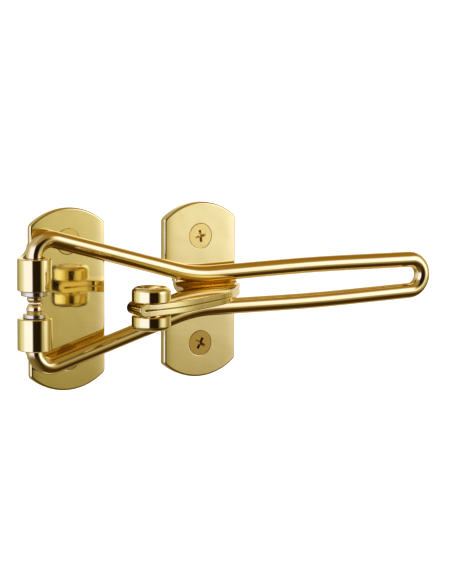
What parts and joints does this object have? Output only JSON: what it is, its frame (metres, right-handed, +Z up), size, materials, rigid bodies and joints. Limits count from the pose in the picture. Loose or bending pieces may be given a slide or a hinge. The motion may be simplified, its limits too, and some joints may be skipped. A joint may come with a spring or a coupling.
{
  "type": "swing bar door guard",
  "caption": "Swing-bar door guard: a long U-shaped round-bar arm, hinged to its base plate, swings over a collared stud that a bracket holds out from its own base plate.",
  "frame": {"origin": "middle of the back face of the arm's base plate", "axes": "+X along the wall from the hinge to the free end of the closed arm, +Y into the wall, +Z up"},
  "size_m": [0.2015, 0.0607, 0.0764],
  "materials": {
    "plate_brass": "polished and lacquered",
    "bar_brass": "polished and lacquered",
    "bracket_brass": "polished, edges as sheared",
    "roller_brass": "turned and polished",
    "screw_brass": "polished head, dull recess",
    "washer_steel": "plain bright steel",
    "bush_nylon": "natural nylon"
  },
  "bodies": {
    "plates": {"arm_base_plate": "plate_brass", "upper_bush": "bush_nylon", "lower_bush": "bush_nylon", "arm_plate_screw_upper": "screw_brass", "arm_plate_screw_lower": "screw_brass", "stud_backing_plate": "plate_brass", "stud_bracket": "bracket_brass", "stud_pin": "roller_brass", "stud_plate_screw_upper": "screw_brass", "stud_plate_screw_lower": "screw_brass"},
    "arm": {"guard_arm": "bar_brass", "upper_washer": "washer_steel", "lower_washer": "washer_steel"},
    "roller_above": {"upper_roller": "roller_brass"},
    "roller_below": {"lower_roller": "roller_brass"}
  },
  "joints": [
    {"name": "arm_swing", "type": "hinge", "parent": "plates", "child": "arm", "pos_m": [-0.01765, -0.0072, 0], "axis": [0, 0, -1], "range_deg": [0, 180]},
    {"name": "upper_roller_spin", "type": "hinge", "parent": "plates", "child": "roller_above", "pos_m": [0.01925, -0.0391, 0.005], "axis": [0, 0, 1], "continuous": true},
    {"name": "lower_roller_spin", "type": "hinge", "parent": "plates", "child": "roller_below", "pos_m": [0.01925, -0.0391, -0.005], "axis": [0, 0, 1], "continuous": true}
  ]
}
